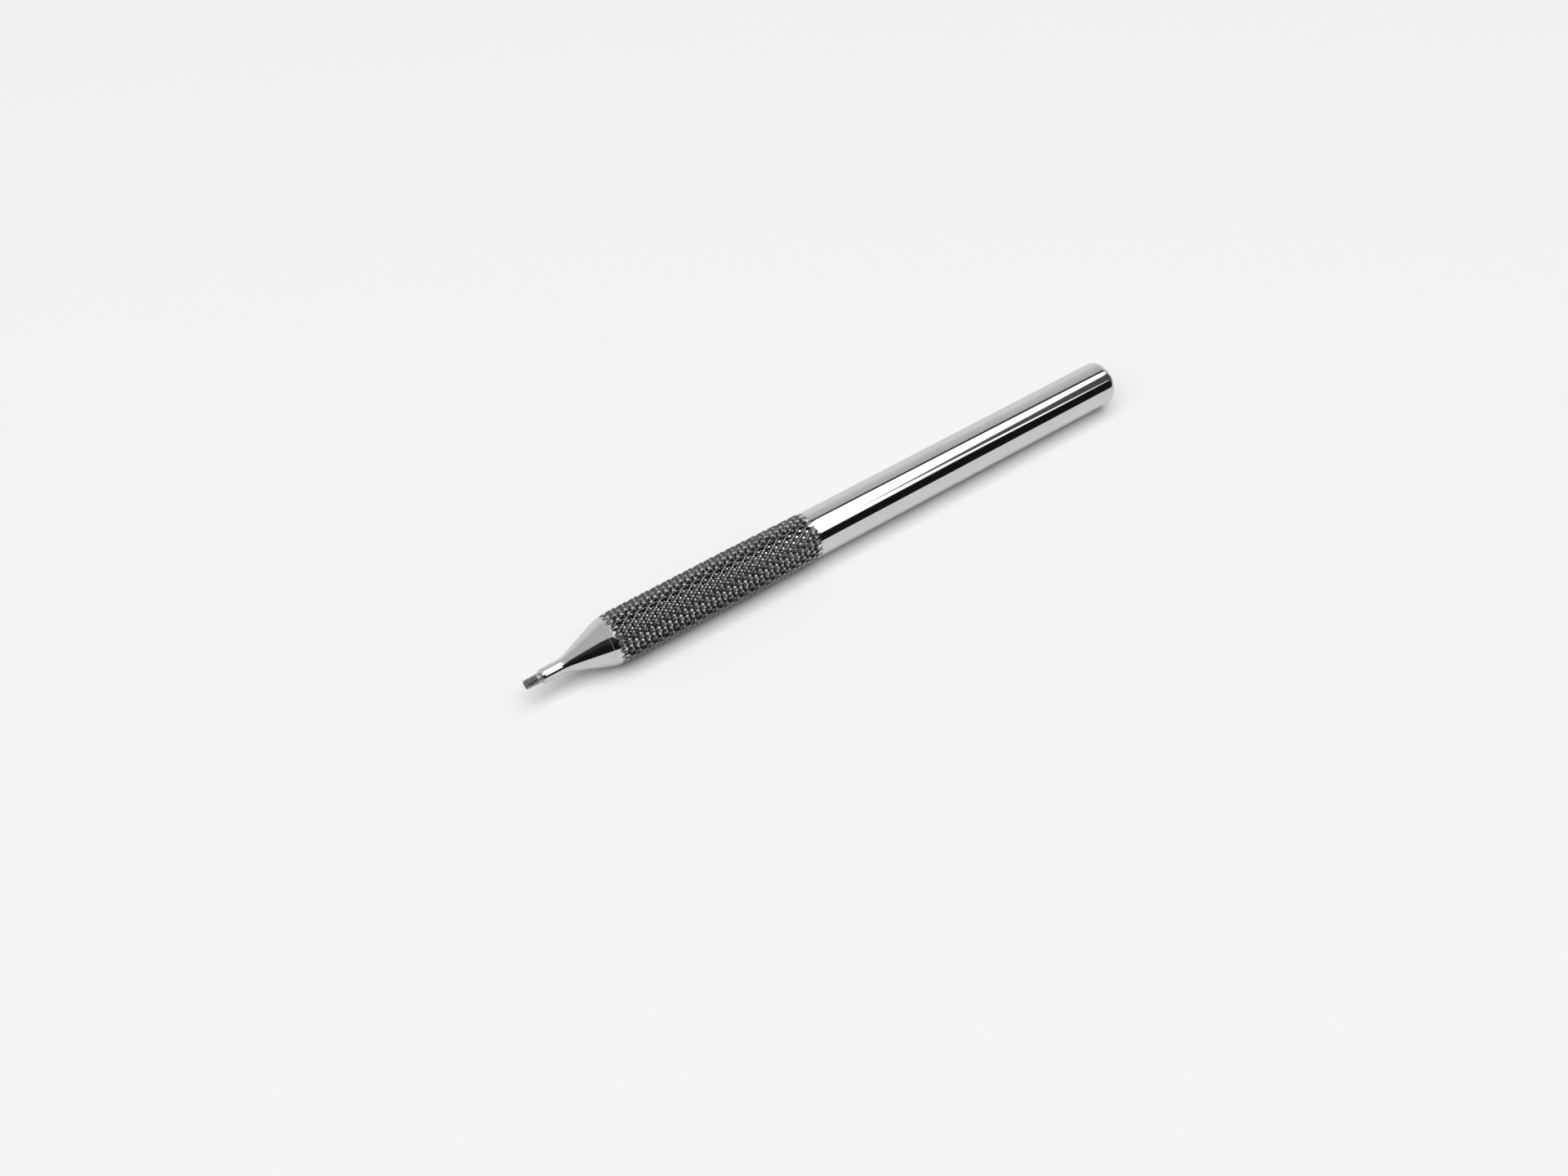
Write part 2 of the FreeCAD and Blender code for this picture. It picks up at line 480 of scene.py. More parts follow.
def bright_steel(name, colour, roughness, lines=0.5, strays=0.6):
    """Mirror polish with faint polishing rings, stray scratches and handling haze."""
    if name in bpy.data.materials:
        return bpy.data.materials[name]
    material, tree, shader, where = start_material(name)
    marks = group_node(tree, hairline_group(), {"Vector": where, "Lines": lines, "Strays": strays})
    haze = group_node(tree, haze_group(), {"Vector": where}).outputs["Mask"]
    darker = tuple(HAZED * c for c in colour)
    tree.links.new(blend_colours(tree, haze, colour, darker), shader.inputs["Base Color"])
    rough = maths(tree, "MULTIPLY_ADD", haze, 0.03, roughness)
    rough = maths(tree, "MULTIPLY_ADD", marks.outputs["Mask"], 0.03, rough)
    tree.links.new(rough, shader.inputs["Roughness"])
    bump(tree, shader, marks.outputs["Height"], 0.4 * MICRON, 0.6)
    return material


def grip_steel(finish, grip):
    """Bright steel on the shank; worn tops, lighter groove floors as a painted highlight, and satin
    flanks darkened as painted shade.
    """
    name = "knurled_steel"
    if name in bpy.data.materials:
        return bpy.data.materials[name]
    material, tree, shader, where = start_material(name)
    height = add_node(tree, "ShaderNodeAttribute", attribute_name="knurl_height").outputs["Fac"]
    marks = group_node(tree, hairline_group(), {"Vector": where, "Lines": 0.5, "Strays": 0.6})
    haze = group_node(tree, haze_group(), {"Vector": where}).outputs["Mask"]
    above_floor = remap(tree, height, 0.02, 0.09)
    below_crest = remap(tree, height, 0.985, 0.90)
    flank = maths(tree, "MULTIPLY", above_floor, below_crest)
    # Flank colour is painted shade: dark steel, mottled along the tool marks.
    tool_marks = noise_value(tree, stretched(tree, where, (2600, 5200, 5200)), 1.0, 4.0, 0.7)
    shading = remap(tree, tool_marks, 0.35, 0.70)
    polished, deep_shade = tuple(finish.polished), tuple(finish.groove_shade)
    flank_colour = blend_colours(tree, shading, deep_shade, tuple(finish.knurled))
    bright = blend_colours(tree, haze, polished, tuple(HAZED * c for c in polished))
    station = add_node(tree, "ShaderNodeSeparateXYZ", {"Vector": where}).outputs["X"]
    worn_from = 0.6 * MM  # inside the ends of the knurl
    knurl_start = remap(tree, station, grip.start, grip.start + worn_from)
    knurl_end = remap(tree, station, grip.end, grip.end - worn_from)
    knurled = maths(tree, "MULTIPLY", knurl_start, knurl_end)
    # Tops get the worn crest colour; on the groove floors it is a painted highlight.
    bright = blend_colours(tree, knurled, bright, tuple(finish.crests))
    tree.links.new(blend_colours(tree, flank, bright, flank_colour), shader.inputs["Base Color"])
    smooth = maths(tree, "MULTIPLY_ADD", haze, 0.03, finish.polish)
    smooth = maths(tree, "MULTIPLY_ADD", marks.outputs["Mask"], 0.03, smooth)
    smooth = maths(tree, "MULTIPLY_ADD", knurled, finish.crest_polish - finish.polish, smooth)
    satin = remap(tree, tool_marks, 0.3, 0.7, finish.satin - 0.07, finish.satin + 0.10)
    rough = add_node(tree, "ShaderNodeMix", {0: flank, 2: smooth, 3: satin}, data_type="FLOAT")
    tree.links.new(rough.outputs[0], shader.inputs["Roughness"])
    grain = maths(tree, "MULTIPLY", tool_marks, flank)
    height = maths(tree, "MULTIPLY_ADD", marks.outputs["Height"], 0.02, grain)
    bump(tree, shader, height, 10 * MICRON, 0.6)
    return material


def dull_steel(finish):
    """Machined stud: grey, worn on the thread crests, with painted shade darkening the roots."""
    name = "machined_stud_steel"
    if name in bpy.data.materials:
        return bpy.data.materials[name]
    material, tree, shader, where = start_material(name)
    radius = group_node(tree, radius_group(), {"Vector": where}).outputs["Radius"]
    crest = remap(tree, radius, 0.70 * MM, 0.79 * MM)
    # The roots are darkened as painted shade.
    root = remap(tree, radius, 0.74 * MM, 0.64 * MM)
    cutting = noise_value(tree, stretched(tree, where, (6000, 2500, 2500)), 1.0, 4.0, 0.7)
    spots = remap(tree, noise_value(tree, where, 2200.0, 4.0, 0.6), 0.40, 0.68)
    colour = tuple(finish.stud_steel)
    for mask, most, over in (
        (root, 0.7, finish.stud_root_shade),
        (crest, 0.6, finish.stud_crests),
        (spots, 0.35, finish.stud_spots),
    ):
        colour = blend_colours(tree, maths(tree, "MULTIPLY", mask, most), colour, tuple(over))
    tree.links.new(colour, shader.inputs["Base Color"])
    rough = remap(tree, cutting, 0.3, 0.7, finish.dull - 0.10, finish.dull + 0.12)
    tree.links.new(rough, shader.inputs["Roughness"])
    bump(tree, shader, cutting, 8 * MICRON, 0.7)
    return material


# ------------------------------------------------------------------ nose


def cone_and_seam(nose):
    """Stations and radii where the cone starts and ends, the crown's radius, and the seam's."""
    start = (
        nose.neck_length + nose.flare_radius * math.sin(nose.cone_angle),
        nose.neck_radius + nose.flare_radius * (1 - math.cos(nose.cone_angle)),
    )
    end = (nose.cone_end, start[1] + (nose.cone_end - start[0]) * math.tan(nose.cone_angle))
    crown = (SEAM - nose.cone_end) / (math.sin(nose.cone_angle) - math.sin(nose.seam_slope))
    seam_radius = end[1] + crown * (math.cos(nose.seam_slope) - math.cos(nose.cone_angle))
    return start, end, crown, seam_radius


class SCRIBER_OT_nose(bpy.types.Operator):
    """Add the turned nose: neck, hollow flare, cone, and the spigot inside the barrel"""

    bl_idname = "scriber.nose"
    bl_label = "Add Nose"

    def execute(self, context):
        nose = context.scene.scriber_nose
        stud = context.scene.scriber_stud
        finish = context.scene.scriber_finish
        start, end, crown, seam_radius = cone_and_seam(nose)
        edge = nose.broken_edge
        flare_centre = (nose.neck_length, nose.neck_radius + nose.flare_radius)
        crown_centre = (
            end[0] + crown * math.sin(nose.cone_angle),
            end[1] - crown * math.cos(nose.cone_angle),
        )
        edge_centre = (SHOULDER + edge, nose.neck_radius - edge)
        spigot, chamfer = nose.bore_radius, SPIGOT_CHAMFER
        outline = [(nose.hole_depth + DRILL_POINT, 0.0), (nose.hole_depth, stud.tail_radius)]
        outline += [(SHOULDER, stud.tail_radius), (SHOULDER, nose.neck_radius - edge)]
        outline += arc_points(edge_centre, edge, math.pi, RIGHT_ANGLE, 4)[1:]
        neck_start, neck_end = outline[-1], (nose.neck_length, nose.neck_radius)
        outline += even_points(neck_start, neck_end, 6)
        outline += arc_points(
            flare_centre, nose.flare_radius, -RIGHT_ANGLE, nose.cone_angle - RIGHT_ANGLE, 26
        )
        outline += even_points(start, end, 8)
        outline += arc_points(
            crown_centre, crown, RIGHT_ANGLE + nose.cone_angle,
            RIGHT_ANGLE + nose.seam_slope + edge / crown, 8,
        )
        outline += [(SEAM, seam_radius - edge), (SEAM, spigot), (SPIGOT_END - chamfer, spigot)]
        outline += [(SPIGOT_END, spigot - chamfer), (SPIGOT_END, 0.0)]
        piece = turn_outline("turned_nose", outline, TURNED_SEGMENTS)
        steel = bright_steel("nose_steel", tuple(finish.polished), finish.polish, 0.55, 0.6)
        finish_piece(piece, "nose", steel)
        return {"FINISHED"}


# ------------------------------------------------------------------ threaded stud


class SCRIBER_OT_stud(bpy.types.Operator):
    """Add the stud with its right-hand thread, plain stretch and rounded tip"""

    bl_idname = "scriber.stud"
    bl_label = "Add Threaded Stud"

    def execute(self, context):
        stud = context.scene.scriber_stud
        tip_end = STUD_TIP + stud.tip_chamfer
        outline = [(STUD_TIP, 0.0), (STUD_TIP, stud.tip_radius)]
        for i in range(1, 9):
            bend = RIGHT_ANGLE * i / 8
            outline.append((
                STUD_TIP + stud.tip_chamfer * (1 - math.cos(bend)) ** 0.85,
                stud.tip_radius + (stud.radius - stud.tip_radius) * math.sin(bend) ** 0.9,
            ))
        rows = round((SHOULDER - tip_end) / THREAD_ROW)
        outline += even_points((tip_end, stud.radius), (SHOULDER, stud.radius), rows)
        outline += [(SHOULDER, stud.radius), (SHOULDER, stud.tail_radius)]
        outline += [(STUD_TAIL_END - TAIL_CHAMFER, stud.tail_radius)]
        outline += [(STUD_TAIL_END, stud.tail_radius - TAIL_CHAMFER), (STUD_TAIL_END, 0.0)]
        piece = turn_outline("threaded_screw_stud", outline, STUD_SEGMENTS)
        cut_thread(piece.data, stud)
        steel = dull_steel(context.scene.scriber_finish)
        finish_piece(piece, "threaded_stud", steel, smooth_degrees=50.0)
        return {"FINISHED"}


def cut_thread(mesh, stud):
    """Sinks the thread's groove into the blank, as a die would, with a fading last turn."""
    crest_flat, root_flat = 0.20, 0.24  # shares of half a pitch
    thread_end = SHOULDER - stud.plain_length
    for vertex in mesh.vertices:
        radius = math.hypot(vertex.co.y, vertex.co.z)
        if radius < stud.tip_radius * 0.98 or vertex.co.x > SHOULDER - MICRON:
            continue
        turns = math.atan2(vertex.co.z, vertex.co.y) / TAU
        phase = ((vertex.co.x - STUD_TIP) / stud.pitch - turns) % 1.0
        away = abs(phase - 0.5) * 2
        cut = min(1.0, max(0.0, (away - crest_flat) / (1 - crest_flat - root_flat)))
        cut = cut * cut * (3 - 2 * cut) * 0.4 + cut * 0.6  # flanks slightly rounded
        fade = min(1.0, max(0.0, (thread_end - vertex.co.x) / THREAD_FADE))
        sunk = min(radius, stud.radius - stud.depth * cut * fade)
        vertex.co.y *= sunk / radius
        vertex.co.z *= sunk / radius


# ------------------------------------------------------------------ barrel

LINES = 6  # mesh lines per diamond and per hand of groove
LAND_SHOWN = 0.45 * MM  # smooth metal in front of the first groove ends, part of the sheet
SHANK_SHOWN = 1.6 * MM  # smooth metal behind the last ones
EVENING_OUT = 1.1 * MM  # behind the knurl, where the mesh lines become even
FALL_START = 0.55 * MM  # before the knurl's end, where the crests drop to the shank
FALL_END = 0.05 * MM  # past the knurl's end
ROOT_DROP = 0.03 * MM  # how much deeper the groove floors lie behind the taper
DROP_LENGTH = 13 * MM
UNEVENNESS = 0.010 * MM  # most that a diamond's top falls short


class KnurlShape:
    """Where the knurl's surface lies, in stations and radii."""

    def __init__(self, grip, nose):
        self.grip = grip
        seam_radius = cone_and_seam(nose)[3]
        self.shoulder = (grip.land_radius - seam_radius) / (1 - math.cos(nose.seam_slope))
        self.land_station = SEAM + self.shoulder * math.sin(nose.seam_slope)
        self.full_depth = CREST_RADIUS - grip.root_radius

    def land(self, x):
        """Smooth convex land between the seam and the knurl."""
        back = min(self.shoulder, max(0.0, self.land_station - x))
        drop = self.shoulder - math.sqrt(self.shoulder ** 2 - back ** 2)
        return self.grip.land_radius - drop

    def crest(self, x):
        """Radius over the diamonds."""
        grip = self.grip
        if x <= grip.start:
            return self.land(x)
        stations = (
            (grip.start, self.land(grip.start)), (grip.full, CREST_RADIUS),
            (grip.taper, CREST_RADIUS), (grip.end - FALL_START, grip.rear_radius),
            (grip.end + FALL_END, grip.shank_radius),
        )
        for (x0, r0), (x1, r1) in zip(stations, stations[1:]):
            if x <= x1:
                return r0 + (r1 - r0) * (x - x0) / (x1 - x0)
        return grip.shank_radius

    def presence(self, x):
        """1 in the body of the knurl, fading to 0 where the grooves run out."""
        grip = self.grip
        ends = min((x - grip.start) / grip.run_out, (grip.end - x) / grip.run_out)
        return min(1.0, max(0.0, ends))

    def depth(self, x):
        """Depth of the groove floors below the diamonds."""
        grip = self.grip
        past = min(1.0, max(0.0, (x - grip.taper) / DROP_LENGTH))
        root = grip.root_radius - ROOT_DROP * past
        return (self.crest(x) - root) * self.presence(x)

    def lines(self, x):
        """Mesh lines across one diamond, and the ends of the groove's floor and flank."""
        grip = self.grip
        deep = self.depth(x) / self.full_depth
        floor = grip.floor_share * min(1.0, 2.5 * self.presence(x)) + 0.004
        edge = floor + 0.004 + (grip.groove_share - grip.floor_share) * deep
        third = (1 - 2 * edge) / 3
        places = [0.0, floor, edge, edge + third, 1 - edge - third, 1 - edge, 1 - floor, 1.0]
        even = [0.0] + [(k + 0.5) / LINES for k in range(LINES)] + [1.0]
        past = min(1.0, max(0.0, (x - grip.end) / EVENING_OUT))
        return [a + (b - a) * past for a, b in zip(places, even)], floor, edge


def spread(value, lines):
    """Moves a coordinate of the even lattice onto the uneven mesh lines of the knurl."""
    whole = math.floor(value)
    inside = (value - whole) * LINES
    step = min(LINES, math.floor(inside + 0.5))
    low = 0.0 if step == 0 else step - 0.5
    high = LINES if step == LINES else step + 0.5
    near, far = lines[step], lines[step + 1]
    return whole + near + (far - near) * (inside - low) / (high - low)


def scatter(*numbers):
    """A repeatable value from -1 to 1 for a whole-numbered place."""
    seed = 0.0
    for index, number in enumerate(numbers):
        seed += number * (12.9898 + 65.233 * index)
    return 2 * ((math.sin(seed) * 43758.5453) % 1.0) - 1


class SCRIBER_OT_barrel(bpy.types.Operator):
    """Add the barrel: knurled sheet wrapped round the axis, smooth shank and bore"""

    bl_idname = "scriber.barrel"
    bl_label = "Add Knurled Barrel"

    def execute(self, context):
        scene = context.scene
        grip, nose, plug = scene.scriber_grip, scene.scriber_nose, scene.scriber_plug
        shape = KnurlShape(grip, nose)
        piece = knurled_sheet(grip, shape)
        extend_barrel(piece, grip, nose, plug, shape)
        steel = grip_steel(scene.scriber_finish, grip)
        finish_piece(piece, "barrel", steel)
        outline_tops(piece.data)
        return {"FINISHED"}


def knurled_sheet(grip, shape):
    """A flat lattice of diamonds, trimmed to one turn, then pressed and rolled into a tube.

    On the flat sheet, x counts diamonds along the tool and y counts them round it.
    """
    along = grip.diamond_length
    first = grip.start
    step = along / (2 * LINES)
    front = first - (round(LAND_SHOWN / step) + 0.5) * step
    rear = first + (round((grip.end + SHANK_SHOWN - first) / step) + 0.5) * step
    cells = 2 * math.ceil((grip.starts + (rear - front) / along) / 2) + 2
    select_nothing()
    bpy.ops.mesh.primitive_grid_add(
        x_subdivisions=cells * LINES, y_subdivisions=cells * LINES, size=cells / math.sqrt(2)
    )
    piece = bpy.context.object
    piece.name = piece.data.name = "knurled_barrel"
    edit()
    bpy.ops.mesh.select_all(action="SELECT")
    bpy.ops.transform.rotate(value=math.radians(45), orient_axis="Z", center_override=(0, 0, 0))
    # the lattice sits on whole diamonds, so that the grooves meet at the join
    middle = ((rear - front) / 2 / along, grip.starts / 2)
    whole = (round(middle[0] * 2) / 2, round(middle[1] * 2) / 2)
    bpy.ops.transform.translate(value=(whole[0], whole[1], 0))
    shift = 0.0 if (round(whole[0] * 2) + round(whole[1] * 2) + cells) % 2 == 0 else 0.5
    bpy.ops.transform.translate(value=(shift, 0, 0))
    pick(piece, "faces", is_flank_corner)
    bpy.ops.mesh.poke()
    leave_edit()

    for vertex in piece.data.vertices:
        u, v = vertex.co.x, vertex.co.y
        places = shape.lines(first + u * along)[0]
        p, q = spread(u + v, places), spread(u - v, places)
        vertex.co.x, vertex.co.y = (p + q) / 2, (p - q) / 2
    edit()
    cuts = (
        ((0, 0, 0), (0, -1, 0)), ((0, grip.starts, 0), (0, 1, 0)),
        (((front - first) / along, 0, 0), (-1, 0, 0)), (((rear - first) / along, 0, 0), (1, 0, 0)),
    )
    for place, outward in cuts:
        bpy.ops.mesh.select_all(action="SELECT")
        bpy.ops.mesh.bisect(plane_co=place, plane_no=outward, clear_outer=True, threshold=1e-5)
    leave_edit()
    press_and_wrap(piece, grip, shape)
    return piece


def press_and_wrap(piece, grip, shape):
    """Presses the grooves into the flat sheet, rolls it round the axis and closes the join."""
    heights = piece.data.attributes.new("knurl_height", "FLOAT", "POINT").data
    for vertex in piece.data.vertices:
        u, v = vertex.co.x, vertex.co.y
        x = grip.start + u * grip.diamond_length
        p, q = u + v, u - v
        _, floor, edge = shape.lines(x)
        present = shape.presence(x)
        near = [min(c % 1.0, 1 - c % 1.0) for c in (p, q)]
        rise = min(min(1.0, max(0.0, (n - floor) / (edge - floor))) for n in near)
        i, j = math.floor(p), math.floor(q)
        uneven = UNEVENNESS * scatter(i + j, (i - j) % (2 * grip.starts)) * rise * present
        radius = shape.crest(x) - shape.depth(x) * (1 - rise) - max(0.0, uneven)
        if rise > 0.999 and min(near) < edge + 0.001:
            radius -= grip.crown * present
        heights[vertex.index].value = 1 - (1 - rise) * min(1.0, 4 * present)
        around = TAU * v / grip.starts
        vertex.co = (x, radius * math.cos(around), radius * math.sin(around))
    edit()
    bpy.ops.mesh.select_all(action="SELECT")
    bpy.ops.mesh.remove_doubles(threshold=MICRON)
    bpy.ops.mesh.select_all(action="SELECT")
    bpy.ops.mesh.fill_holes(sides=4)  # slits where the two sides of the join differ
    leave_edit()


def outline_tops(mesh):
    """Keeps the borders of the small crowned tops crisp."""
    on_top = [entry.value > 0.999 for entry in mesh.attributes["knurl_height"].data]
    border = set()
    for face in mesh.polygons:
        if not all(on_top[v] for v in face.vertices):
            border.update(key for key in face.edge_keys if on_top[key[0]] and on_top[key[1]])
    sharp = mesh.attributes["sharp_edge"].data
    for edge in mesh.edges:
        if edge.key in border:
            sharp[edge.index].value = True


def is_flank_corner(face):
    """True for the four faces of a diamond where two groove flanks meet on a ridge."""
    middle = face.calc_center_median()
    places = [round(c * LINES) % LINES for c in (middle.x + middle.y, middle.x - middle.y)]
    return all(place in (1, LINES - 1) for place in places)


def extend_barrel(piece, grip, nose, plug, shape):
    """Draws the ends of the knurled tube out to the seams, and back through the bore."""
    edge, chamfer = nose.broken_edge, BORE_CHAMFER
    bore, shank = nose.bore_radius, grip.shank_radius
    edit()
    stations = [vertex.co.x for vertex in piece.data.vertices]
    front, rear = min(stations), max(stations)
    smooth = [(front + (SEAM + edge - front) * i / 6) for i in range(1, 7)]
    front_rows = [(x, shape.land(x)) for x in smooth]
    front_rows += [(SEAM, shape.land(SEAM) - edge), (SEAM, bore + chamfer), (SEAM + chamfer, bore)]
    back = REAR_SEAM - plug.hairline
    rear_rows = [(rear + (back - rear) * i / 8, shank) for i in range(1, 9)]
    rear_rows += [(REAR_SEAM, shank - plug.hairline), (REAR_SEAM, bore + chamfer)]
    rear_rows += [(REAR_SEAM - chamfer, bore)]
    draw_out(piece, front, shape.land(front), front_rows)
    draw_out(piece, rear, shank, rear_rows)
    pick(piece, "edges", lambda e: e.is_boundary)
    bpy.ops.mesh.bridge_edge_loops()
    close_shape()
    leave_edit()


def draw_out(piece, station, radius, rows):
    """Extrudes the open edge at a station through rows of (station, radius)."""
    pick(
        piece, "edges",
        lambda e: e.is_boundary and all(abs(v.co.x - station) < 5 * MICRON for v in e.verts),
    )
    for x, r in rows:
        bpy.ops.mesh.extrude_region_move(TRANSFORM_OT_translate={"value": (x - station, 0, 0)})
        ratio = r / radius
        if abs(ratio - 1) > 1e-7:
            bpy.ops.transform.resize(value=(1, ratio, ratio), center_override=(x, 0, 0))
        station, radius = x, r


# ------------------------------------------------------------------ rear plug


class SCRIBER_OT_plug(bpy.types.Operator):
    """Add the rear plug: rounded head and the spigot inside the barrel"""

    bl_idname = "scriber.plug"
    bl_label = "Add Rear Plug"

    def execute(self, context):
        scene = context.scene
        grip, nose, plug = scene.scriber_grip, scene.scriber_nose, scene.scriber_plug
        shank, bore, rounding = grip.shank_radius, nose.bore_radius, plug.rounding
        chamfer = SPIGOT_CHAMFER
        rounding_centre = (REAR_FACE - rounding, shank - rounding)
        outline = [(PLUG_SPIGOT_FRONT, 0.0), (PLUG_SPIGOT_FRONT, bore - chamfer)]
        outline += [(PLUG_SPIGOT_FRONT + chamfer, bore), (REAR_SEAM, bore)]
        outline += [(REAR_SEAM, shank - plug.hairline), (REAR_SEAM + plug.hairline, shank)]
        outline += even_points(outline[-1], (REAR_FACE - rounding, shank), 4)
        outline += arc_points(rounding_centre, rounding, RIGHT_ANGLE, 0, 32)
        outline += even_points(outline[-1], (REAR_FACE, 0), 5) + [(REAR_FACE, 0.0)]
        piece = turn_outline("rear_plug_head", outline, TURNED_SEGMENTS)
        finish = scene.scriber_finish
        steel = bright_steel("plug_steel", tuple(finish.polished), finish.polish, 0.5, 0.7)
        finish_piece(piece, "rear_plug", steel)
        return {"FINISHED"}


# ------------------------------------------------------------------ studio


class SCRIBER_OT_studio(bpy.types.Operator):
    """Add the pale floor, the softbox, the room that steel mirrors, and the camera"""

    bl_idname = "scriber.studio"
    bl_label = "Add Studio"

    def execute(self, context):
        studio = context.scene.scriber_studio
        add_floor(studio)
        add_softbox(studio)
        add_backdrop(context.scene, studio)
        add_room(studio)
        add_camera(context.scene, studio)
        context.scene.view_settings.view_transform = "Standard"
        context.scene.view_settings.look = "None"
        return {"FINISHED"}


def add_floor(studio):
    select_nothing()
    bpy.ops.mesh.primitive_plane_add(size=studio.floor_size)
    floor = bpy.context.object
    floor.name = floor.data.name = "pale_floor"
    edit()
    bpy.ops.mesh.select_all(action="SELECT")
    bpy.ops.transform.translate(value=(0, 0, TABLE_HEIGHT))
    leave_edit()
    material = bpy.data.materials.new("pale_paper")
    material.use_nodes = True
    tree = material.node_tree
    shader = tree.nodes["Principled BSDF"]
    shader.inputs["Specular IOR Level"].default_value = 0.15
    shader.inputs["Roughness"].default_value = 0.85
    where = add_node(tree, "ShaderNodeTexCoord").outputs["Object"]
    fibres = noise_value(tree, where, 1400.0, 4.0, 0.6)
    tone = remap(tree, fibres, 0.3, 0.7)
    paler = tuple(min(1.0, 1.012 * c) for c in studio.paper)
    colour = blend_colours(tree, tone, tuple(studio.paper), paler)
    tree.links.new(colour, shader.inputs["Base Color"])
    bump(tree, shader, fibres, 20 * MICRON, 0.3)
    floor.data.materials.append(material)


def add_softbox(studio):
    """Overhead softbox that lights the floor; its edges are in units of its height."""
    height = studio.softbox_height
    low_x, high_x, low_y, high_y = -1.6, 0.76, -0.75, 0.35
    light = bpy.data.lights.new("softbox", "AREA")
    light.shape = "RECTANGLE"
    light.size = (high_x - low_x) * height
    light.size_y = (high_y - low_y) * height
    light.energy = studio.softbox_power
    lamp = bpy.data.objects.new("softbox", light)
    lamp.location = (
        (low_x + high_x) / 2 * height, (low_y + high_y) / 2 * height, TABLE_HEIGHT + height
    )
    lamp.visible_glossy = False
    bpy.context.scene.collection.objects.link(lamp)


def add_backdrop(scene, studio):
    """Plain pale surroundings for the camera and the floor; polished steel sees the room."""
    world = bpy.data.worlds.new("pale_backdrop")
    scene.world = world
    world.use_nodes = True
    tree = world.node_tree
    tree.nodes.clear()
    seen = add_node(tree, "ShaderNodeLightPath").outputs["Is Camera Ray"]
    fill = add_node(
        tree, "ShaderNodeBackground", {"Color": (1.0, 1.0, 1.0, 1.0), "Strength": studio.fill}
    )
    backdrop = add_node(tree, "ShaderNodeBackground", {"Color": (*studio.backdrop, 1.0)})
    mix = add_node(
        tree, "ShaderNodeMixShader", {0: seen, 1: fill.outputs[0], 2: backdrop.outputs[0]}
    )
    out = add_node(tree, "ShaderNodeOutputWorld")
    tree.links.new(mix.outputs[0], out.inputs["Surface"])
    world.cycles_visibility.glossy = False


def add_room(studio):
    """The room that polished steel mirrors: a painted dome that only reflections see."""
    select_nothing()
    bpy.ops.mesh.primitive_uv_sphere_add(segments=64, ring_count=32, radius=studio.room_radius)
    dome = bpy.context.object
    dome.name = dome.data.name = "room_dome"
    dome.visible_camera = dome.visible_diffuse = dome.visible_shadow = False
    dome.data.materials.append(room_paint(studio))


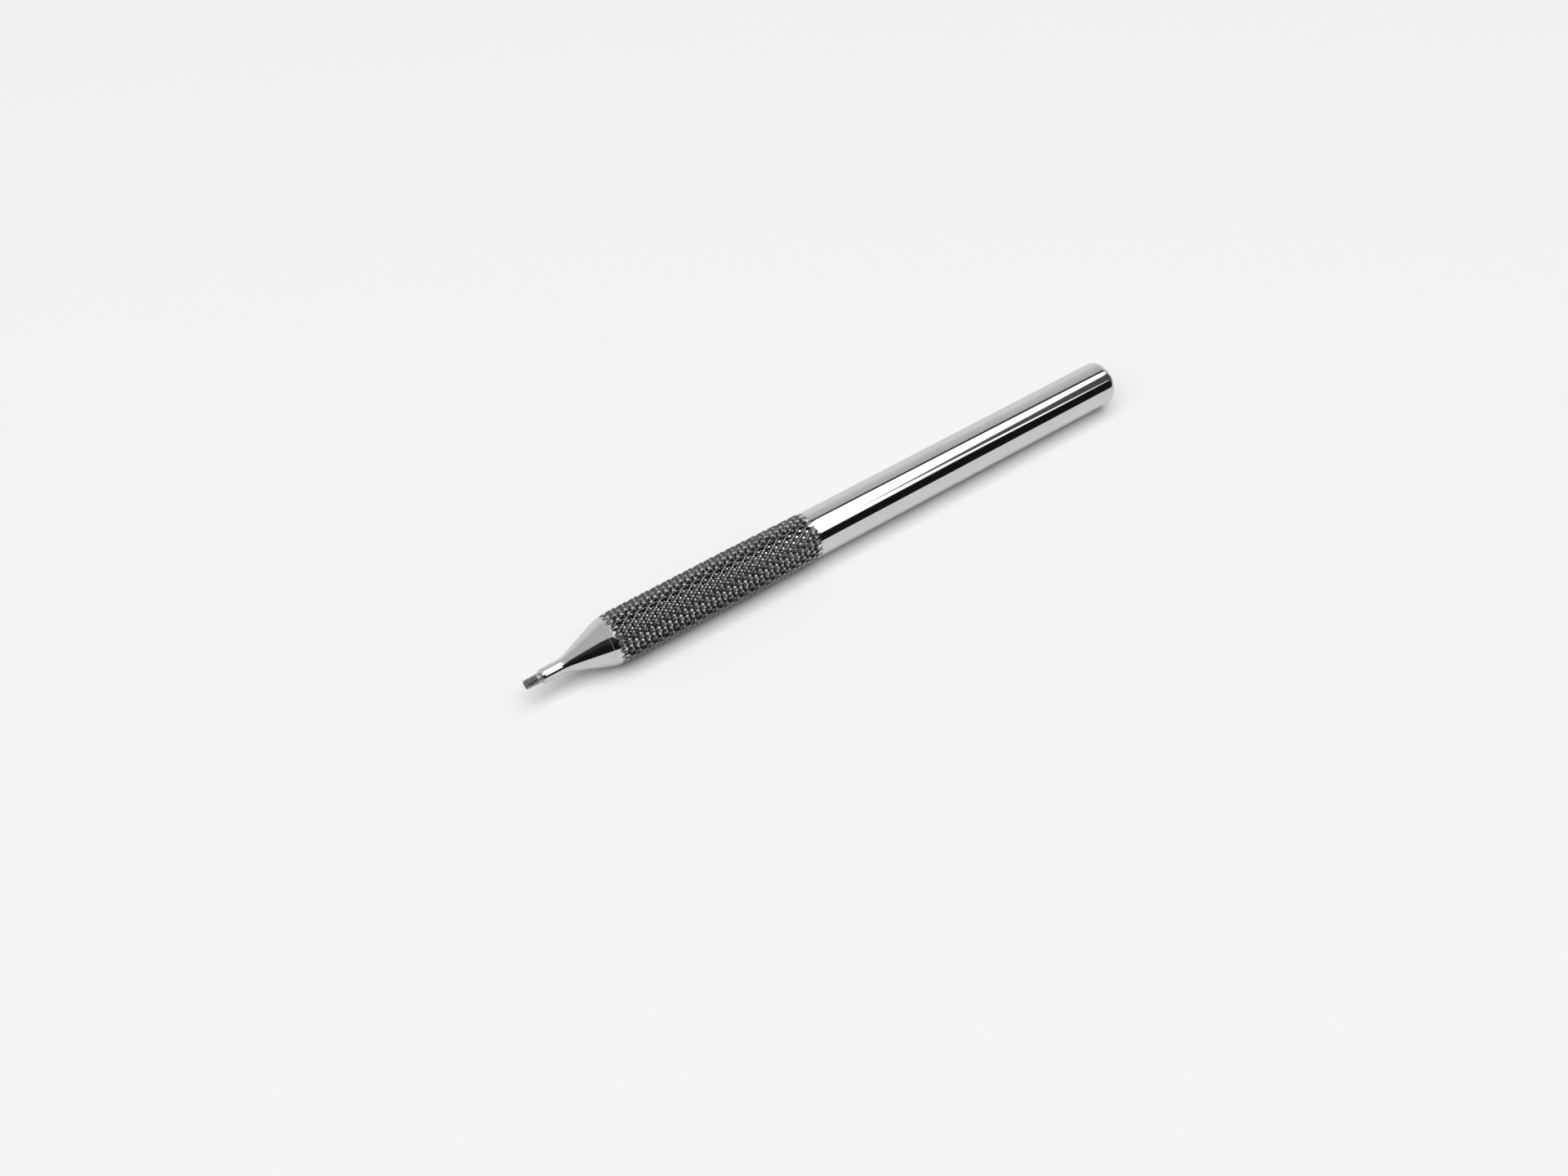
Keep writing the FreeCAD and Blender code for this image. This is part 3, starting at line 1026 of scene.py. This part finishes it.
def room_paint(studio):
    """Paint of the dome: pale wall on the +Y side, bright window overhead, dark low on -Y.

    The areas are laid out on a level plan at unit height above the tool.
    """
    material = bpy.data.materials.new("room_paint")
    material.use_nodes = True
    material.cycles.emission_sampling = "NONE"
    tree = material.node_tree
    tree.nodes.clear()
    where = add_node(tree, "ShaderNodeTexCoord").outputs["Object"]
    direction = add_node(
        tree, "ShaderNodeVectorMath", {0: where}, operation="NORMALIZE"
    ).outputs["Vector"]
    parts = add_node(tree, "ShaderNodeSeparateXYZ", {"Vector": direction}).outputs
    rise = maths(tree, "MAXIMUM", parts["Z"], 0.02)
    plan = (maths(tree, "DIVIDE", parts["X"], rise), maths(tree, "DIVIDE", parts["Y"], rise))

    def beyond(a, b, c, width):
        """1 where a*x + b*y + c is positive on the plan, with an edge of that width."""
        reach = maths(tree, "MULTIPLY_ADD", plan[0], a, maths(tree, "MULTIPLY_ADD", plan[1], b, c))
        return remap(tree, reach, -width / 2, width / 2, smooth=True)

    def both(*masks):
        product = masks[0]
        for mask in masks[1:]:
            product = maths(tree, "MULTIPLY", product, mask)
        return product

    low_dark = ramp(tree, parts["Z"], (
        (0.0, 0.012), (0.40, 0.010), (0.52, 0.014), (0.62, 0.025), (0.74, 0.045), (1.0, 0.06),
    ))
    wall = ramp(tree, parts["Z"], (
        (0.0, 0.92), (0.25, 0.95), (0.50, 0.78), (0.75, 0.62), (1.0, 0.66),
    ))
    low_side = both(beyond(-0.5, -1.0, -0.63, 0.10), remap(tree, parts["Y"], 0.02, -0.10))
    room = blend_colours(tree, low_side, wall, low_dark)
    # the window: its +Y edge, its left part down to the dark side, and a lobe that hangs lower
    upper = beyond(-0.73, -1.0, 0.635, 0.04)
    left = remap(tree, plan[0], 0.0, 0.36, smooth=True)
    near = beyond(0.5, 1.0, 0.63, 0.10)
    lobe_foot = maths(
        tree, "MAXIMUM", beyond(1.0, 0.0, -0.34, 0.12), beyond(0.0, 1.0, 0.60, 0.20)
    )
    lobe = both(
        beyond(1.0, -0.3, -0.16, 0.28), beyond(-1.05, 1.0, 2.16, 0.42), lobe_foot,
        remap(tree, plan[0], 0.86, 1.02, 1.0, 0.12),
    )
    # a dark notch cut into its rear side
    wedge = both(
        beyond(0.35, -0.20, -0.338, 0.05), beyond(0.35, 0.40, 0.046, 0.05),
        beyond(0.0, -1.0, -0.15, 0.2),
    )
    rear_edge = beyond(-1.0, 0.0, 1.25, 0.4)
    window = both(upper, maths(tree, "MAXIMUM", both(left, near), lobe), rear_edge)
    window = both(window, maths(tree, "SUBTRACT", 1.0, wedge))
    # the thin dark frame along its +Y edge
    frame_line = both(
        beyond(0.73, 1.0, -0.635, 0.03), beyond(-0.73, -1.0, 0.86, 0.06),
        remap(tree, plan[0], 0.15, 0.45, smooth=True),
    )
    for mask, grey in ((wedge, 0.10), (frame_line, 0.06), (window, 1.0)):
        room = blend_colours(tree, mask, room, (grey, grey, grey))
    gain = maths(tree, "MULTIPLY_ADD", window, studio.window_gain, 1.0)
    glow = add_node(tree, "ShaderNodeEmission", {"Color": room, "Strength": gain})
    out = add_node(tree, "ShaderNodeOutputMaterial")
    tree.links.new(glow.outputs[0], out.inputs["Surface"])
    return material


def ramp(tree, value, stops):
    """Grey ramp through (place, brightness) stops."""
    made = add_node(tree, "ShaderNodeValToRGB", {"Fac": value})
    band = made.color_ramp
    while len(band.elements) < len(stops):
        band.elements.new(0.5)
    for element, (place, grey) in zip(band.elements, stops):
        element.position = place
        element.color = (grey, grey, grey, 1.0)
    return made.outputs["Color"]


def add_camera(scene, studio):
    level = math.cos(studio.elevation)
    turn = studio.azimuth
    forward = Vector((math.sin(turn) * level, math.cos(turn) * level, -math.sin(studio.elevation)))
    data = bpy.data.cameras.new("camera")
    data.sensor_width = 36.0
    data.lens = studio.lens
    data.clip_start, data.clip_end = 5 * MM, 20.0
    camera = bpy.data.objects.new("camera", data)
    camera.location = AIM - forward * studio.distance
    camera.rotation_mode = "QUATERNION"
    camera.rotation_quaternion = forward.to_track_quat("-Z", "Y")
    scene.collection.objects.link(camera)
    scene.camera = camera


# ------------------------------------------------------------------ add-on


class SCRIBER_PT_panel(bpy.types.Panel):
    """Sizes, finishes and buttons of the scriber handle"""

    bl_label = "Scriber Handle"
    bl_idname = "SCRIBER_PT_panel"
    bl_space_type = "VIEW_3D"
    bl_region_type = "UI"
    bl_category = "Scriber"

    def draw(self, context):
        for owner, operator in STEPS:
            box = self.layout.box()
            group = getattr(context.scene, owner)
            for name in group.__annotations__:
                box.prop(group, name)
            box.operator(operator)
        box = self.layout.box()
        for name in ScriberFinish.__annotations__:
            box.prop(context.scene.scriber_finish, name)


STEPS = (
    ("scriber_nose", "scriber.nose"),
    ("scriber_stud", "scriber.stud"),
    ("scriber_grip", "scriber.barrel"),
    ("scriber_plug", "scriber.plug"),
    ("scriber_studio", "scriber.studio"),
)
GROUPS = {
    "scriber_nose": ScriberNose,
    "scriber_stud": ScriberStud,
    "scriber_grip": ScriberGrip,
    "scriber_plug": ScriberPlug,
    "scriber_finish": ScriberFinish,
    "scriber_studio": ScriberStudio,
}
CLASSES = (
    *GROUPS.values(),
    SCRIBER_OT_nose, SCRIBER_OT_stud, SCRIBER_OT_barrel, SCRIBER_OT_plug, SCRIBER_OT_studio,
    SCRIBER_PT_panel,
)


def register():
    for cls in CLASSES:
        bpy.utils.register_class(cls)
    for name, cls in GROUPS.items():
        setattr(bpy.types.Scene, name, PointerProperty(type=cls))


def unregister():
    for name in GROUPS:
        delattr(bpy.types.Scene, name)
    for cls in reversed(CLASSES):
        bpy.utils.unregister_class(cls)


def main():
    register()
    bpy.ops.scriber.nose()
    bpy.ops.scriber.stud()
    bpy.ops.scriber.barrel()
    bpy.ops.scriber.plug()
    bpy.ops.scriber.studio()


if __name__ == "__main__":
    main()
